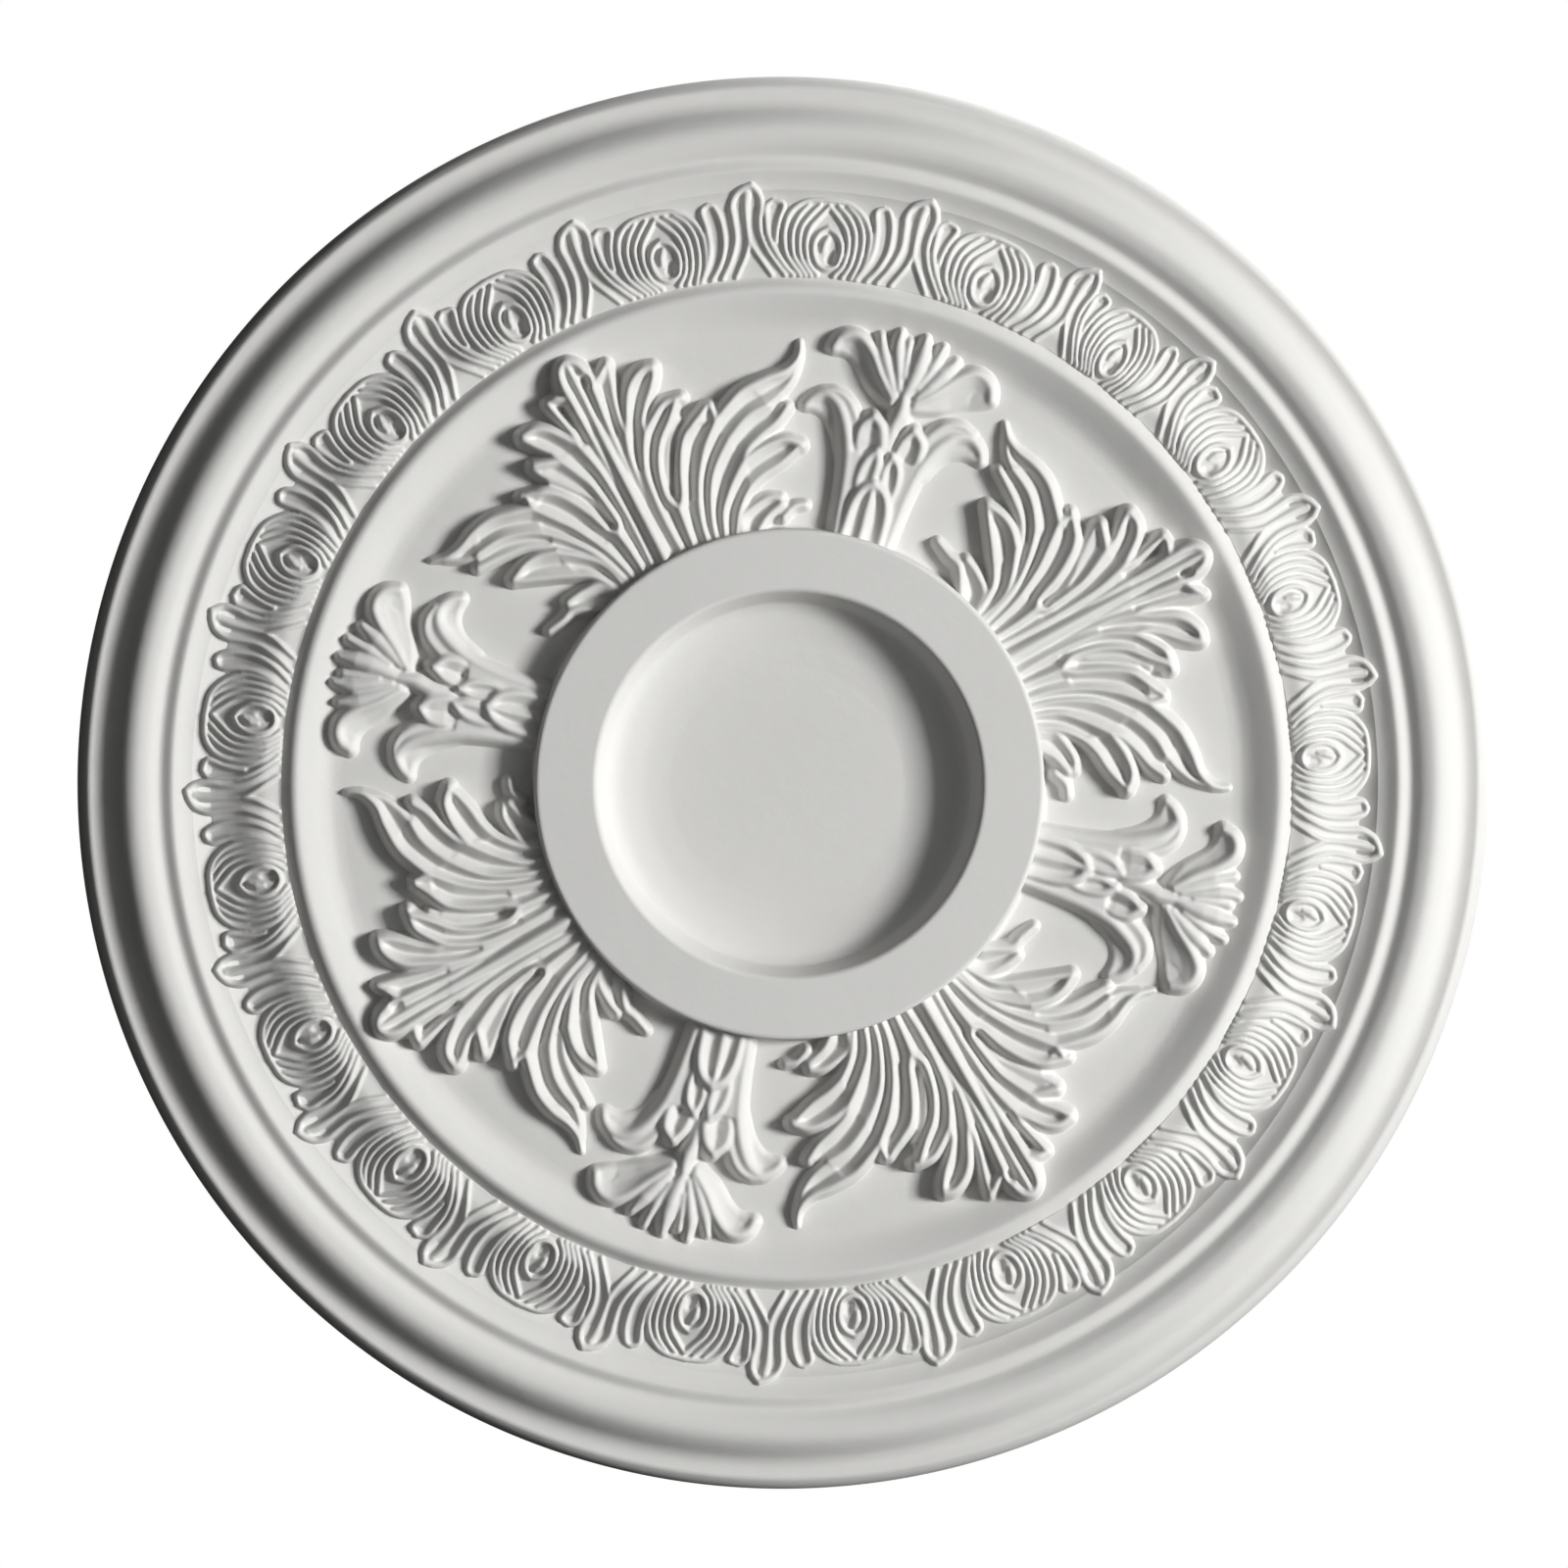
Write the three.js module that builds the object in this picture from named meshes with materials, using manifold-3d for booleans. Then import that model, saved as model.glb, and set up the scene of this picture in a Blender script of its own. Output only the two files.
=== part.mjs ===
// Round ceiling rose, cast in one piece in gypsum plaster, 600 mm across.
// It hangs face down: the flat back is at z = 0 and lies against the ceiling, and the carving points down.
// Everything is built face up, as the carver sees it on the bench, and turned over at the very end.
import * as THREE from "three";
import { mergeVertices } from "three/addons/utils/BufferGeometryUtils.js";
import Module from "manifold-3d";

// Corners of the turned outline from the middle outwards: [radius, height above the back], in millimetres
const FIELD = 15.5;
const RING_FACE = 29;
const ARRIS = 1.3;
const RECESS_FLOOR = [52, 10];
const RECESS_FOOT = [77.1, 15.5];
const RECESS_WALL_TOP = [81.8, RING_FACE - ARRIS];
const RING_INNER = [83.1, RING_FACE];
const RING_OUTER = [106, RING_FACE];
const RING_WALL_TOP = [107.3, RING_FACE - ARRIS];
const RING_WALL_FOOT = [108.6, FIELD];
const COVE_FOOT = [189.1, FIELD];
const COVE_RISE = [197, 17.7];
const BEAD = [208.1, 23];
const BAND_INNER = [214.9, 19.1];
const BAND_CREST = [221.1, 20];
const BAND_SHOULDER = [230, 18];
const BAND_SLOPE = [239.6, 13.2];
const BAND_OUTER = [249.8, 10.6];
const FILLET = [260.7, 15.2];
const QUIRK = [265.7, 13.4];
const ROLL_START = [271.8, 17.2];
const ROLL_TOP = [275.7, 17.8];
const ROLL_FALL = [281.6, 14.8];
const ROLL_FOOT = [294.7, 7.6];
const RIM = [300, 4.6];

// Fineness of the turned shape
const TURNED_SEGMENTS = 60;
// Slivers thinner than this are merged away after the pieces are joined
const SLIVER = 0.35;

// Where the ornaments sit, in degrees anticlockwise from +X, seen on the carved face
const LEAF_ANGLES = [28.4, 117.4, 209.9, 300];
const SPRIG_ANGLES = [73.4, 164.7, 254.7, 343.3];

// The band: twenty full repeats laid by hand from one joint round to it again, closed by a narrow one
const FULL_REPEATS = 20;
const FIRST_DART_ANGLE = 59;
const CLOSING_PITCH = 13.9;
const LAYING_DRIFT = 1.0;
const EGG_OFFSET_ANGLE = 7.9;

// The carving is set out as it looks from 2.7 m below, where what stands proud seems this much too large
const SEEN_SIZE = 1.0085;
// How far the carved pieces are let into the ground they stand on
const LET_IN = 2;
// Flat top of a lobe as a part of its width
const TOP_SHARE = 0.5;
// A leaf's two halves share their lobes, and the left one is drawn in a little
const LEAF_AXIS_OFFSET = -2.5;
const LEFT_SPREAD = 0.93;

const wasm = await Module();
wasm.setup();

// A lobe's stations: [across, along the axis, half width, height above the ground], in millimetres
const MIDRIB = [[-3, 104, 5, 13], [-3, 165, 2.8, 9], [-2.5, 197, 2, 11]];
const LEAF_TIP = [[-3, 160, 5, 6.5], [-2.3, 192, 9, 9], [-2, 204, 4.5, 12]];
const LEAF_LOBES = [
  [[2, 160, 3, 7], [7.5, 178, 4, 8.5], [14.5, 195.5, 1.8, 9]],
  [[5, 146, 3, 8], [13, 169, 4.6, 8], [28.5, 184, 3, 10]],
  [[9, 128, 3.5, 9], [14.5, 151, 4.8, 8], [32, 167.5, 2.5, 9.5]],
  [[14, 106, 4.2, 12], [20.5, 127, 5.2, 9.5], [43.5, 158.5, 3, 10.5]],
  [[19, 106, 3, 11], [31.5, 135, 4.5, 9], [50, 150.5, 6, 9.5], [84, 157.5, 3.5, 9], [93, 166, 1.2, 6]],
  [[27, 102, 3.5, 10.5], [40, 121.5, 5.5, 8.5], [55, 127.5, 6.2, 8], [71, 127, 3.5, 7]],
  [[33, 100, 6, 8.5], [56, 108, 2.4, 6.5]],
];

const SPRIG_STALK = [[0, 104, 6, 8.5], [-0.3, 135, 5, 7.5], [0, 172, 3, 7.5]];
const SPRIG_BUD = [[-0.5, 168, 2, 8.5], [-0.8, 184, 3.4, 10.5], [0, 199.5, 2, 10]];
const SPRIG_LOBES = [
  [[7, 104, 6, 7], [9, 138, 6, 7], [21, 159, 4.8, 6.5], [30, 163.5, 4.2, 7], [39, 158.5, 2.4, 5]],
  [[2, 167, 2.5, 7.5], [11.5, 174, 3.6, 7.5], [22, 186.5, 4.6, 8.5], [38.5, 182, 2.8, 6]],
  [[4, 170, 3, 7.5], [12.5, 192.5, 4, 8.2]],
  [[8, 132, 3.2, 8], [9.4, 157, 3, 9.5]],
  [[8.5, 110, 2.6, 8.5], [1.8, 130, 2.8, 9.5]],
];

// The band's stations stand on the turned cushion, so their heights are above its surface
const DART = [[-1.2, 216.5, 9.5, 1.2], [-1.9, 236, 5, 2.2], [-1.4, 248, 5.2, 2.4], [0.6, 257, 2.2, 2.2]];
const EGG = [[-1, 216.5, 7, 1.4], [0, 230, 8, 2], [1.5, 247, 2.4, 1.4]];

const outline = [
  RECESS_FLOOR,
  RECESS_FOOT,
  RECESS_WALL_TOP,
  RING_INNER,
  RING_OUTER,
  RING_WALL_TOP,
  RING_WALL_FOOT,
  COVE_FOOT,
  COVE_RISE,
  BEAD,
  BAND_INNER,
  BAND_CREST,
  BAND_SHOULDER,
  BAND_SLOPE,
  BAND_OUTER,
  FILLET,
  QUIRK,
  ROLL_START,
  ROLL_TOP,
  ROLL_FALL,
  ROLL_FOOT,
  RIM,
];

// Height of the turned face at a given distance from the middle, outside the recess floor
function faceHeight(radius) {
  for (let i = 1; i < outline.length; i += 1) {
    const [innerRadius, innerHeight] = outline[i - 1];
    const [outerRadius, outerHeight] = outline[i];
    if (radius <= outerRadius) {
      return THREE.MathUtils.mapLinear(radius, innerRadius, outerRadius, innerHeight, outerHeight);
    }
  }
  return RIM[1];
}

// The whole rose without its carving, turned about the upright axis through its middle
function turnedDisc() {
  const section = [[0, 0], [RIM[0], 0], ...outline.slice().reverse(), [0, RECESS_FLOOR[1]]];
  const points = section.map(([radius, height]) => new THREE.Vector2(radius, height));
  const geometry = new THREE.LatheGeometry(points, TURNED_SEGMENTS);
  // The lathe turns about Y, and the rose about Z
  return geometry.rotateX(Math.PI / 2);
}

// A lobe is a tapering bar along its stations with a flat top, sloping sides and square ends.
// The ground is a function of the distance from the middle of the rose.
function lobe(stations, ground) {
  const vertices = [];
  stations.forEach(([acrossSeen, alongSeen, halfWidth, height], i) => {
    const across = acrossSeen / SEEN_SIZE;
    const along = alongSeen / SEEN_SIZE;
    const before = stations[Math.max(i - 1, 0)];
    const after = stations[Math.min(i + 1, stations.length - 1)];
    const run = new THREE.Vector2(after[0] - before[0], after[1] - before[1]).normalize();
    const base = ground(Math.hypot(across, along));
    [[-1, -LET_IN], [-TOP_SHARE, height], [TOP_SHARE, height], [1, -LET_IN]].forEach(([side, rise]) => {
      const offset = side * halfWidth;
      vertices.push(across + run.y * offset, along - run.x * offset, base + rise);
    });
  });
  const faces = [0, 2, 1, 0, 3, 2];
  for (let i = 0; i < stations.length - 1; i += 1) {
    for (let k = 0; k < 4; k += 1) {
      const a = 4 * i + k;
      const b = 4 * i + (k + 1) % 4;
      faces.push(a, b, a + 4, b, b + 4, a + 4);
    }
  }
  const last = 4 * (stations.length - 1);
  faces.push(last, last + 1, last + 2, last, last + 2, last + 3);
  const geometry = new THREE.BufferGeometry();
  geometry.setAttribute("position", new THREE.Float32BufferAttribute(vertices, 3));
  geometry.setIndex(faces);
  return geometry;
}

const mirrored = (stations, spread) =>
  stations.map(([across, along, halfWidth, height]) => [
    LEAF_AXIS_OFFSET - spread * (across - LEAF_AXIS_OFFSET),
    along,
    halfWidth,
    height,
  ]);

function toSolid(geometry) {
  const bare = geometry.clone();
  bare.deleteAttribute("normal");
  bare.deleteAttribute("uv");
  const merged = mergeVertices(bare, 1e-4);
  const mesh = new wasm.Mesh({
    numProp: 3,
    vertProperties: new Float32Array(merged.attributes.position.array),
    triVerts: new Uint32Array(merged.index.array),
  });
  return new wasm.Manifold(mesh);
}

function toGeometry(solid) {
  const mesh = solid.getMesh();
  const geometry = new THREE.BufferGeometry();
  geometry.setAttribute("position", new THREE.Float32BufferAttribute(mesh.vertProperties, 3));
  geometry.setIndex(Array.from(mesh.triVerts));
  return geometry;
}

// An ornament is drawn with its axis along +Y and turned to its place
function placed(lobes, angle, ground) {
  return lobes.map((stations) => lobe(stations, ground).rotateZ(THREE.MathUtils.degToRad(angle - 90)));
}

const field = () => FIELD;
const leaf = [
  MIDRIB,
  LEAF_TIP,
  ...LEAF_LOBES,
  ...LEAF_LOBES.map((stations) => mirrored(stations, LEFT_SPREAD)),
];
const sprig = [
  SPRIG_STALK,
  SPRIG_BUD,
  ...SPRIG_LOBES,
  ...SPRIG_LOBES.map((stations) => stations.map(([across, ...rest]) => [-across, ...rest])),
];

const carving = [];
LEAF_ANGLES.forEach((angle) => carving.push(...placed(leaf, angle, field)));
SPRIG_ANGLES.forEach((angle) => carving.push(...placed(sprig, angle, field)));

// The repeats run from the first dart anticlockwise. Each egg lies on the near side of its dart.
const fullPitch = (360 - CLOSING_PITCH) / FULL_REPEATS;
for (let repeat = 0; repeat <= FULL_REPEATS; repeat += 1) {
  const drift = LAYING_DRIFT * Math.sin((Math.PI * repeat) / FULL_REPEATS);
  const dartAngle = FIRST_DART_ANGLE + fullPitch * repeat + drift;
  const squeeze = repeat === 0 ? CLOSING_PITCH / fullPitch : 1;
  const eggAngle = dartAngle - EGG_OFFSET_ANGLE * squeeze;
  const narrowed = (stations) => stations.map(([across, along, halfWidth, height]) => [
    across * squeeze, along, halfWidth * squeeze, height]);
  carving.push(...placed([DART], dartAngle, faceHeight));
  carving.push(...placed([narrowed(EGG)], eggAngle, faceHeight));
}

const joined = carving.reduce((whole, piece) => whole.add(toSolid(piece)), toSolid(turnedDisc()));
const rose = joined.simplify(SLIVER);

const plaster = new THREE.MeshStandardMaterial({ color: 0xe6e5e1, roughness: 0.75, metalness: 0 });
const roseMesh = new THREE.Mesh(toGeometry(rose), plaster);
roseMesh.name = "ceiling_rose";
// Turned over: the carved face looks down and the back lies in the ceiling's plane
roseMesh.rotation.x = Math.PI;

const object = new THREE.Group();
object.add(roseMesh);

export default object;
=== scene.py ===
import math

import bmesh
import bpy
import numpy as np
from mathutils import Matrix, Vector


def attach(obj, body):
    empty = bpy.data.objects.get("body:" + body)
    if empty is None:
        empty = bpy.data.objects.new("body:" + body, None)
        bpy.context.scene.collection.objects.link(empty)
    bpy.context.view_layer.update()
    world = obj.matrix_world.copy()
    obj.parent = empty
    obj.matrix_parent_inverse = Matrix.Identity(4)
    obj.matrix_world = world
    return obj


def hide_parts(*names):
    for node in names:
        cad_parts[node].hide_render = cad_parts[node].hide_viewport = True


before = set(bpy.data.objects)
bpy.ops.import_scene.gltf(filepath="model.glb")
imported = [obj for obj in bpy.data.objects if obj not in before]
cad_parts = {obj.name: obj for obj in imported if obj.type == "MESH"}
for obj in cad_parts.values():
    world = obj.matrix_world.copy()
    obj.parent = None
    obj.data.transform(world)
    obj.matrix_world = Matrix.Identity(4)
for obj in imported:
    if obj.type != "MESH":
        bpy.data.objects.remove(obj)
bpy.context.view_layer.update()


# The turned disc: the body of the rose, run up in plaster with a zinc profile on a pin, back flat.
# It has the dished centre, the raised ring, the plain field, the cove and the mouldings of the edge.
# Heights are from the back, radii from the middle, in millimetres; the rose is worked face up.
TO_METRES = 0.001
DISC_SEGMENTS = 480
PROFILE_STEP = 1.4
# Height of the plain field and of the raised ring, and the radius at which the ring's wall meets the field
FIELD = 15.5
RING_FACE = 29.0
RING_FOOT = 111
# The turned disc is cut this much lower under the band, which is a piece of its own
SUNK = 3.0
# How far below the back the eye is, and the height at which a seen radius is the true one
EYE_DISTANCE = 2700.0
EDGE_HEIGHT = 3.0
# A straight run gets a ring this close to each end
FLAT_SHOULDER = 0.7

# Each moulding is a run of the profile; a corner stands where two runs meet. The radii are the ones seen
# from the eye below the ceiling, to which whatever stands further down looks a little larger.
MOULDINGS = [
    [(0, 10), (50, 10)],
    [(50, 10), (56, 10.35), (62.5, 11), (70.8, 12.8), (74.5, 14.4), (77.2, 16.6)],
    [(77.2, 16.6), (78.6, 20), (80.2, 24), (81.7, 27.3), (82.4, 28.5), (83.6, RING_FACE)],
    [(83.6, RING_FACE), (106.9, RING_FACE)],
    [(106.9, RING_FACE), (107.8, 28.7), (108.4, 27.9), (108.7, 22), (109, 17.2), (109.6, 15.9),
     (RING_FOOT, FIELD)],
    [(RING_FOOT, FIELD), (189.5, FIELD)],
    [(189.5, FIELD), (193.8, 16.0), (197.9, 17.6), (202.1, 19.8), (206.5, 22), (208.6, 22.85),
     (209.9, 23), (211.3, 22.4), (213, 20.9), (214.8, 19.3), (215.8, 18.9)],
    [(215.8, 19), (217.4, 19.3 - SUNK), (222, 20 - SUNK), (233, 16.2 - SUNK), (241, 13 - SUNK),
     (248, 10.9 - SUNK)],
    [(248, 10.9 - SUNK), (249.2, 10.7)],
    [(249.2, 10.7), (250.4, 10.65), (253, 11.25), (256, 12.5), (258.6, 14), (260.5, 15.05), (261.4, 15.2),
     (262.6, 14.75), (264.6, 13.8), (266, 13.4)],
    [(266, 13.4), (267.2, 13.9), (269, 15), (271.2, 16.4), (274, 17.4), (276.8, 17.8), (279.6, 17.1),
     (282, 15.5), (284.4, 13.1), (286.6, 10.5), (288.8, 9), (291, 8.4), (293.4, 8.5), (295.6, 8.8)],
    [(295.6, 8.8), (297.4, 7.4), (299, 5.1), (299.8, 3)],
    [(299.8, 3), (300, 0.5)],
    [(300, 0.5), (299.5, 0)],
    [(299.5, 0), (0, 0)],
]


def drawn(points, step=1.0):
    """A smooth line through a few set-out points, a straight one through two."""
    points = np.array(points, float)
    if len(points) == 2:
        return points
    padded = np.vstack([2 * points[0] - points[1], points, 2 * points[-1] - points[-2]])
    line = []
    for before, start, end, after in zip(padded, padded[1:], padded[2:], padded[3:]):
        count = max(int(round(np.linalg.norm(end - start) / step)), 1)
        t = np.arange(count)[:, None] / count
        line.append(0.5 * (2 * start + (end - before) * t
                           + (2 * before - 5 * start + 4 * end - after) * t**2
                           + (3 * start - before - 3 * end + after) * t**3))
    line.append(points[-1:])
    return np.vstack(line)


def true_radius(seen, height):
    """Takes the eye's perspective out of a radius at some height above the back."""
    return seen / (1 + (height - EDGE_HEIGHT) / EYE_DISTANCE)


def shouldered(run):
    """A straight run with a ring close to each end, so that its shading stays flat up to the corner."""
    start, end = run
    length = np.linalg.norm(end - start)
    if length < 4 * FLAT_SHOULDER:
        return run
    toward = (end - start) / length * FLAT_SHOULDER
    return np.array([start, start + toward, end - toward, end])


def hung(points):
    """Turns face-up millimetres over into the hanging rose's metres."""
    return np.asarray(points, float) * (TO_METRES, -TO_METRES, -TO_METRES)


def plaster_mesh(name, points, faces):
    mesh = bpy.data.meshes.new(name)
    mesh.from_pydata(hung(points).tolist(), [], faces)
    mesh.polygons.foreach_set("use_smooth", np.ones(len(mesh.polygons), bool))
    made = bpy.data.objects.new(name, mesh)
    bpy.context.scene.collection.objects.link(made)
    return made


profile = [(0, 10)]
for run in MOULDINGS:
    run = drawn(run, PROFILE_STEP)
    if len(run) == 2:
        run = shouldered(run)
    profile += [tuple(point) for point in run[1:]]
profile = np.array([(true_radius(seen, height), height) for seen, height in profile])

around = np.linspace(0, 2 * math.pi, DISC_SEGMENTS, endpoint=False)
rings = profile[1:-1]
points = [(0, 0, profile[0][1])]
for radius, height in rings:
    points += [(radius * math.cos(a), radius * math.sin(a), height) for a in around]
points.append((0, 0, profile[-1][1]))
faces = []
for k in range(DISC_SEGMENTS):
    after = (k + 1) % DISC_SEGMENTS
    faces.append((0, 1 + k, 1 + after))
    for row in range(len(rings) - 1):
        inner = 1 + row * DISC_SEGMENTS
        outer = inner + DISC_SEGMENTS
        faces.append((inner + k, outer + k, outer + after, inner + after))
    rim = 1 + (len(rings) - 1) * DISC_SEGMENTS
    faces.append((rim + k, len(points) - 1, rim + after))
disc = plaster_mesh("turned_disc", points, faces)


def surface(radius):
    """Height of the finished face at a radius, with the band's cushion whole."""
    cushion = [(215.8, 19), (218.8, 19.6), (222, 20), (225, 19.6), (229.2, 18.1), (235.4, 15.2),
               (241.7, 12.8), (247.9, 11.1), (250.4, 10.65)]
    whole = np.array([(true_radius(seen, height), height) for seen, height in drawn(cushion)])
    face = profile[: np.argmax(profile[:, 0])]
    within = face[face[:, 0] < whole[0, 0]]
    beyond = face[face[:, 0] > whole[-1, 0]]
    whole = np.vstack([within, whole, beyond])
    return np.interp(radius, whole[:, 0], whole[:, 1])


class Trace:
    """A value on its way through the plaster's nodes. Sums and products of traces add Math nodes."""

    tree = None

    def __init__(self, socket):
        self.socket = socket

    @classmethod
    def node(cls, kind, settings, sockets, out=0):
        made = cls.tree.nodes.new(kind)
        for name, value in settings.items():
            if name == "stops":
                for stop, (position, shade) in zip(made.color_ramp.elements, value):
                    stop.position = position
                    stop.color = (shade, shade, shade, 1)
            else:
                setattr(made, name, value)
        for name, value in sockets.items():
            if isinstance(value, Trace):
                cls.tree.links.new(value.socket, made.inputs[name])
            else:
                made.inputs[name].default_value = value
        return cls(made.outputs[out])

    def maths(self, operation, first, second):
        return Trace.node("ShaderNodeMath", {"operation": operation}, {0: first, 1: second})

    def __add__(self, other):
        return self.maths("ADD", self, other)

    def __mul__(self, other):
        return self.maths("MULTIPLY", self, other)

    def __sub__(self, other):
        return self.maths("SUBTRACT", self, other)

    def __rsub__(self, other):
        return self.maths("SUBTRACT", other, self)

    def __gt__(self, other):
        return self.maths("GREATER_THAN", self, other)

    __radd__ = __add__
    __rmul__ = __mul__


# Painted plaster: a warm white over the fine grain and the slight waver that the mould and the brush leave.
# The back is left as the trowel struck it off: greyer and coarser, with burst air bubbles, and scored with
# lines as a key for the glue. Depths and levels are in metres.
BACK_LEVEL = -0.0004
GRAIN_DEPTH = 0.00006
WAVER_DEPTH = 0.00022
TROWEL_DEPTH = 0.002
BUBBLE_DEPTH = 0.0006
SCORE_DEPTH = 0.0009
PAINT = (0.73, 0.725, 0.707, 1)
PAINT_SHADE = (0.69, 0.685, 0.667, 1)
BARE_BACK = (0.62, 0.60, 0.55, 1)

plaster = bpy.data.materials.new("painted_plaster")
plaster.use_nodes = True
Trace.tree = plaster.node_tree
shader = plaster.node_tree.nodes["Principled BSDF"]
place = Trace.node("ShaderNodeTexCoord", {}, {}, "Object")
up = Trace.node("ShaderNodeSeparateXYZ", {}, {"Vector": place}, "Z")
back = up > BACK_LEVEL
clouds = Trace.node("ShaderNodeTexNoise", {}, {"Vector": place, "Scale": 14.0, "Detail": 3.0}, "Fac")
grain = Trace.node("ShaderNodeTexNoise", {}, {"Vector": place, "Scale": 900.0, "Detail": 3.0}, "Fac")
waver = Trace.node("ShaderNodeTexNoise", {}, {"Vector": place, "Scale": 120.0, "Detail": 2.0}, "Fac")
cells = Trace.node("ShaderNodeTexVoronoi", {"voronoi_dimensions": "2D"},
                   {"Vector": place, "Scale": 95.0}, "Distance")
bubbles = Trace.node("ShaderNodeValToRGB", {"stops": [(0.06, 1), (0.1, 0)]}, {"Fac": cells}, "Color")
swept = Trace.node("ShaderNodeTexNoise", {"noise_dimensions": "2D"},
                   {"Vector": place, "Scale": 4.0, "Detail": 0.0}, "Color")
curved = Trace.node("ShaderNodeVectorMath", {"operation": "MULTIPLY_ADD"},
                    {0: swept, 1: (0.25, 0.25, 0), 2: place}, "Vector")
stretched = Trace.node("ShaderNodeMapping", {}, {"Vector": curved, "Scale": (9.0, 60.0, 20.0)}, "Vector")
trowel = Trace.node("ShaderNodeTexNoise", {"noise_dimensions": "2D"},
                    {"Vector": stretched, "Scale": 1.0, "Detail": 4.0}, "Fac")


def scored(direction):
    """Lines scratched into the back at a slant, as a key for the glue."""
    slanted = Trace.node("ShaderNodeMapping", {}, {"Vector": place, "Rotation": (0, 0, direction)}, "Vector")
    wave = Trace.node("ShaderNodeTexWave", {"bands_direction": "X"},
                      {"Vector": slanted, "Scale": 8.0, "Distortion": 1.6, "Detail": 0.0,
                       "Detail Scale": 0.6}, "Fac")
    return Trace.node("ShaderNodeValToRGB", {"stops": [(0.955, 0), (0.995, 1)]}, {"Fac": wave}, "Color")


key_lines = (scored(0.8) + scored(-0.7)) * (clouds > 0.44) * back
toned = Trace.node("ShaderNodeMix", {"data_type": "RGBA"},
                   {"Factor": clouds, "A": PAINT, "B": PAINT_SHADE}, "Result")
bare = Trace.node("ShaderNodeMix", {"data_type": "RGBA"},
                  {"Factor": trowel, "A": BARE_BACK, "B": PAINT}, "Result")
colour = Trace.node("ShaderNodeMix", {"data_type": "RGBA"},
                    {"Factor": back, "A": toned, "B": bare}, "Result")
hollows = bubbles * BUBBLE_DEPTH * back + key_lines * SCORE_DEPTH
relief = grain * GRAIN_DEPTH + waver * WAVER_DEPTH + trowel * TROWEL_DEPTH * back - hollows
bumped = Trace.node("ShaderNodeBump", {}, {"Height": relief, "Strength": 0.6, "Distance": 1.0}, "Normal")
Trace.tree.links.new(colour.socket, shader.inputs["Base Color"])
Trace.tree.links.new(bumped.socket, shader.inputs["Normal"])
Trace.tree.links.new((0.62 + grain * 0.16 + back * 0.15).socket, shader.inputs["Roughness"])
shader.inputs["Specular IOR Level"].default_value = 0.35

disc.data.materials.append(plaster)
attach(disc, "root")
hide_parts("ceiling_rose")


# The four acanthus leaves grow out of the ring and lie on the field, their tips curling over on the cove.
# Each is a cast from one carved model: ribs with hollow flutes between, lobes that end in rounded tips.
# A leaf is set out across its axis (right is +) and along it from the middle of the rose, in millimetres.
LEAF_AXES = (28.4, 117.4, 209.9, 300.0)
LEAF_SIDES = (-96, 96.5)
LEAF_ENDS = (93, 207)
LEAF_GRID = 0.55
# The relief is set out as the eye sees it, this much larger than it is
SEEN_SIZE = 1.0085
# The slope of a rib's sides, how much steeper they grow outside its half width, and how blunt its crest is
FLANK = 2.0
STEEPENING = 0.7
LEAF_CREST = 0.9
# How deep the flutes are, how far their lips stay under the ribs, and how hollow they are
LEAF_DEPTH = 1.45
FLUTE_LIP = 0.2
FLUTE_HOLLOW = 1.4
GOUGE_FLANK = 3.2
# Width of the fillets, between two ribs and at the leaf's foot
RIB_JOIN = 0.6
LEAF_FOOT = 1.8
# The floor of the slab that is carved, and how far from its line a rib can reach
BED_DEPTH = -6.0
REACH = 13.0
# How far a cast is let into its bed, where it is trimmed, and how many coats of paint soften it
LET_IN = 0.5
TRIM = 0.4
COATS = 2


def raised(a, b, join):
    """The higher of two surfaces, with a hollow fillet where they meet."""
    near = np.maximum(join - np.abs(a - b), 0) / join
    return np.maximum(a, b) + near * near * join / 4


def along_it(values, where):
    """Reads off evenly spaced values at shares of a line's length."""
    return np.interp(where, np.linspace(0, 1, len(values)), values)


class Rib:
    """A carved ridge: its line as the eye below sees it, its height along the line and its half width."""

    def __init__(self, points, rise, thick):
        self.line = drawn(points) / SEEN_SIZE
        self.rise = np.atleast_1d(rise).astype(float)
        self.thick = np.atleast_1d(thick).astype(float)

    def copy(self, line, rise, thick):
        """A rib on a line that is already at its true size."""
        made = Rib(line * SEEN_SIZE, rise, thick)
        made.line = line
        return made

    def stretch(self, start, end):
        """The part of the rib between two shares of its length."""
        steps = np.linalg.norm(np.diff(self.line, axis=0), axis=1)
        run = np.concatenate([[0], np.cumsum(steps)]) / steps.sum()
        at = np.linspace(start, end, max(int(steps.sum() * (end - start)), 2))
        line = np.stack([np.interp(at, run, side) for side in self.line.T], axis=1)
        return self.copy(line, along_it(self.rise, at), along_it(self.thick, at))


def part_of(ribs, name, start=0, end=1):
    """The rib of that name, or the stretch of it between two shares of its length."""
    whole = (start, end) == (0, 1)
    return ribs[name] if whole else ribs[name].stretch(start, end)


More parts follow.
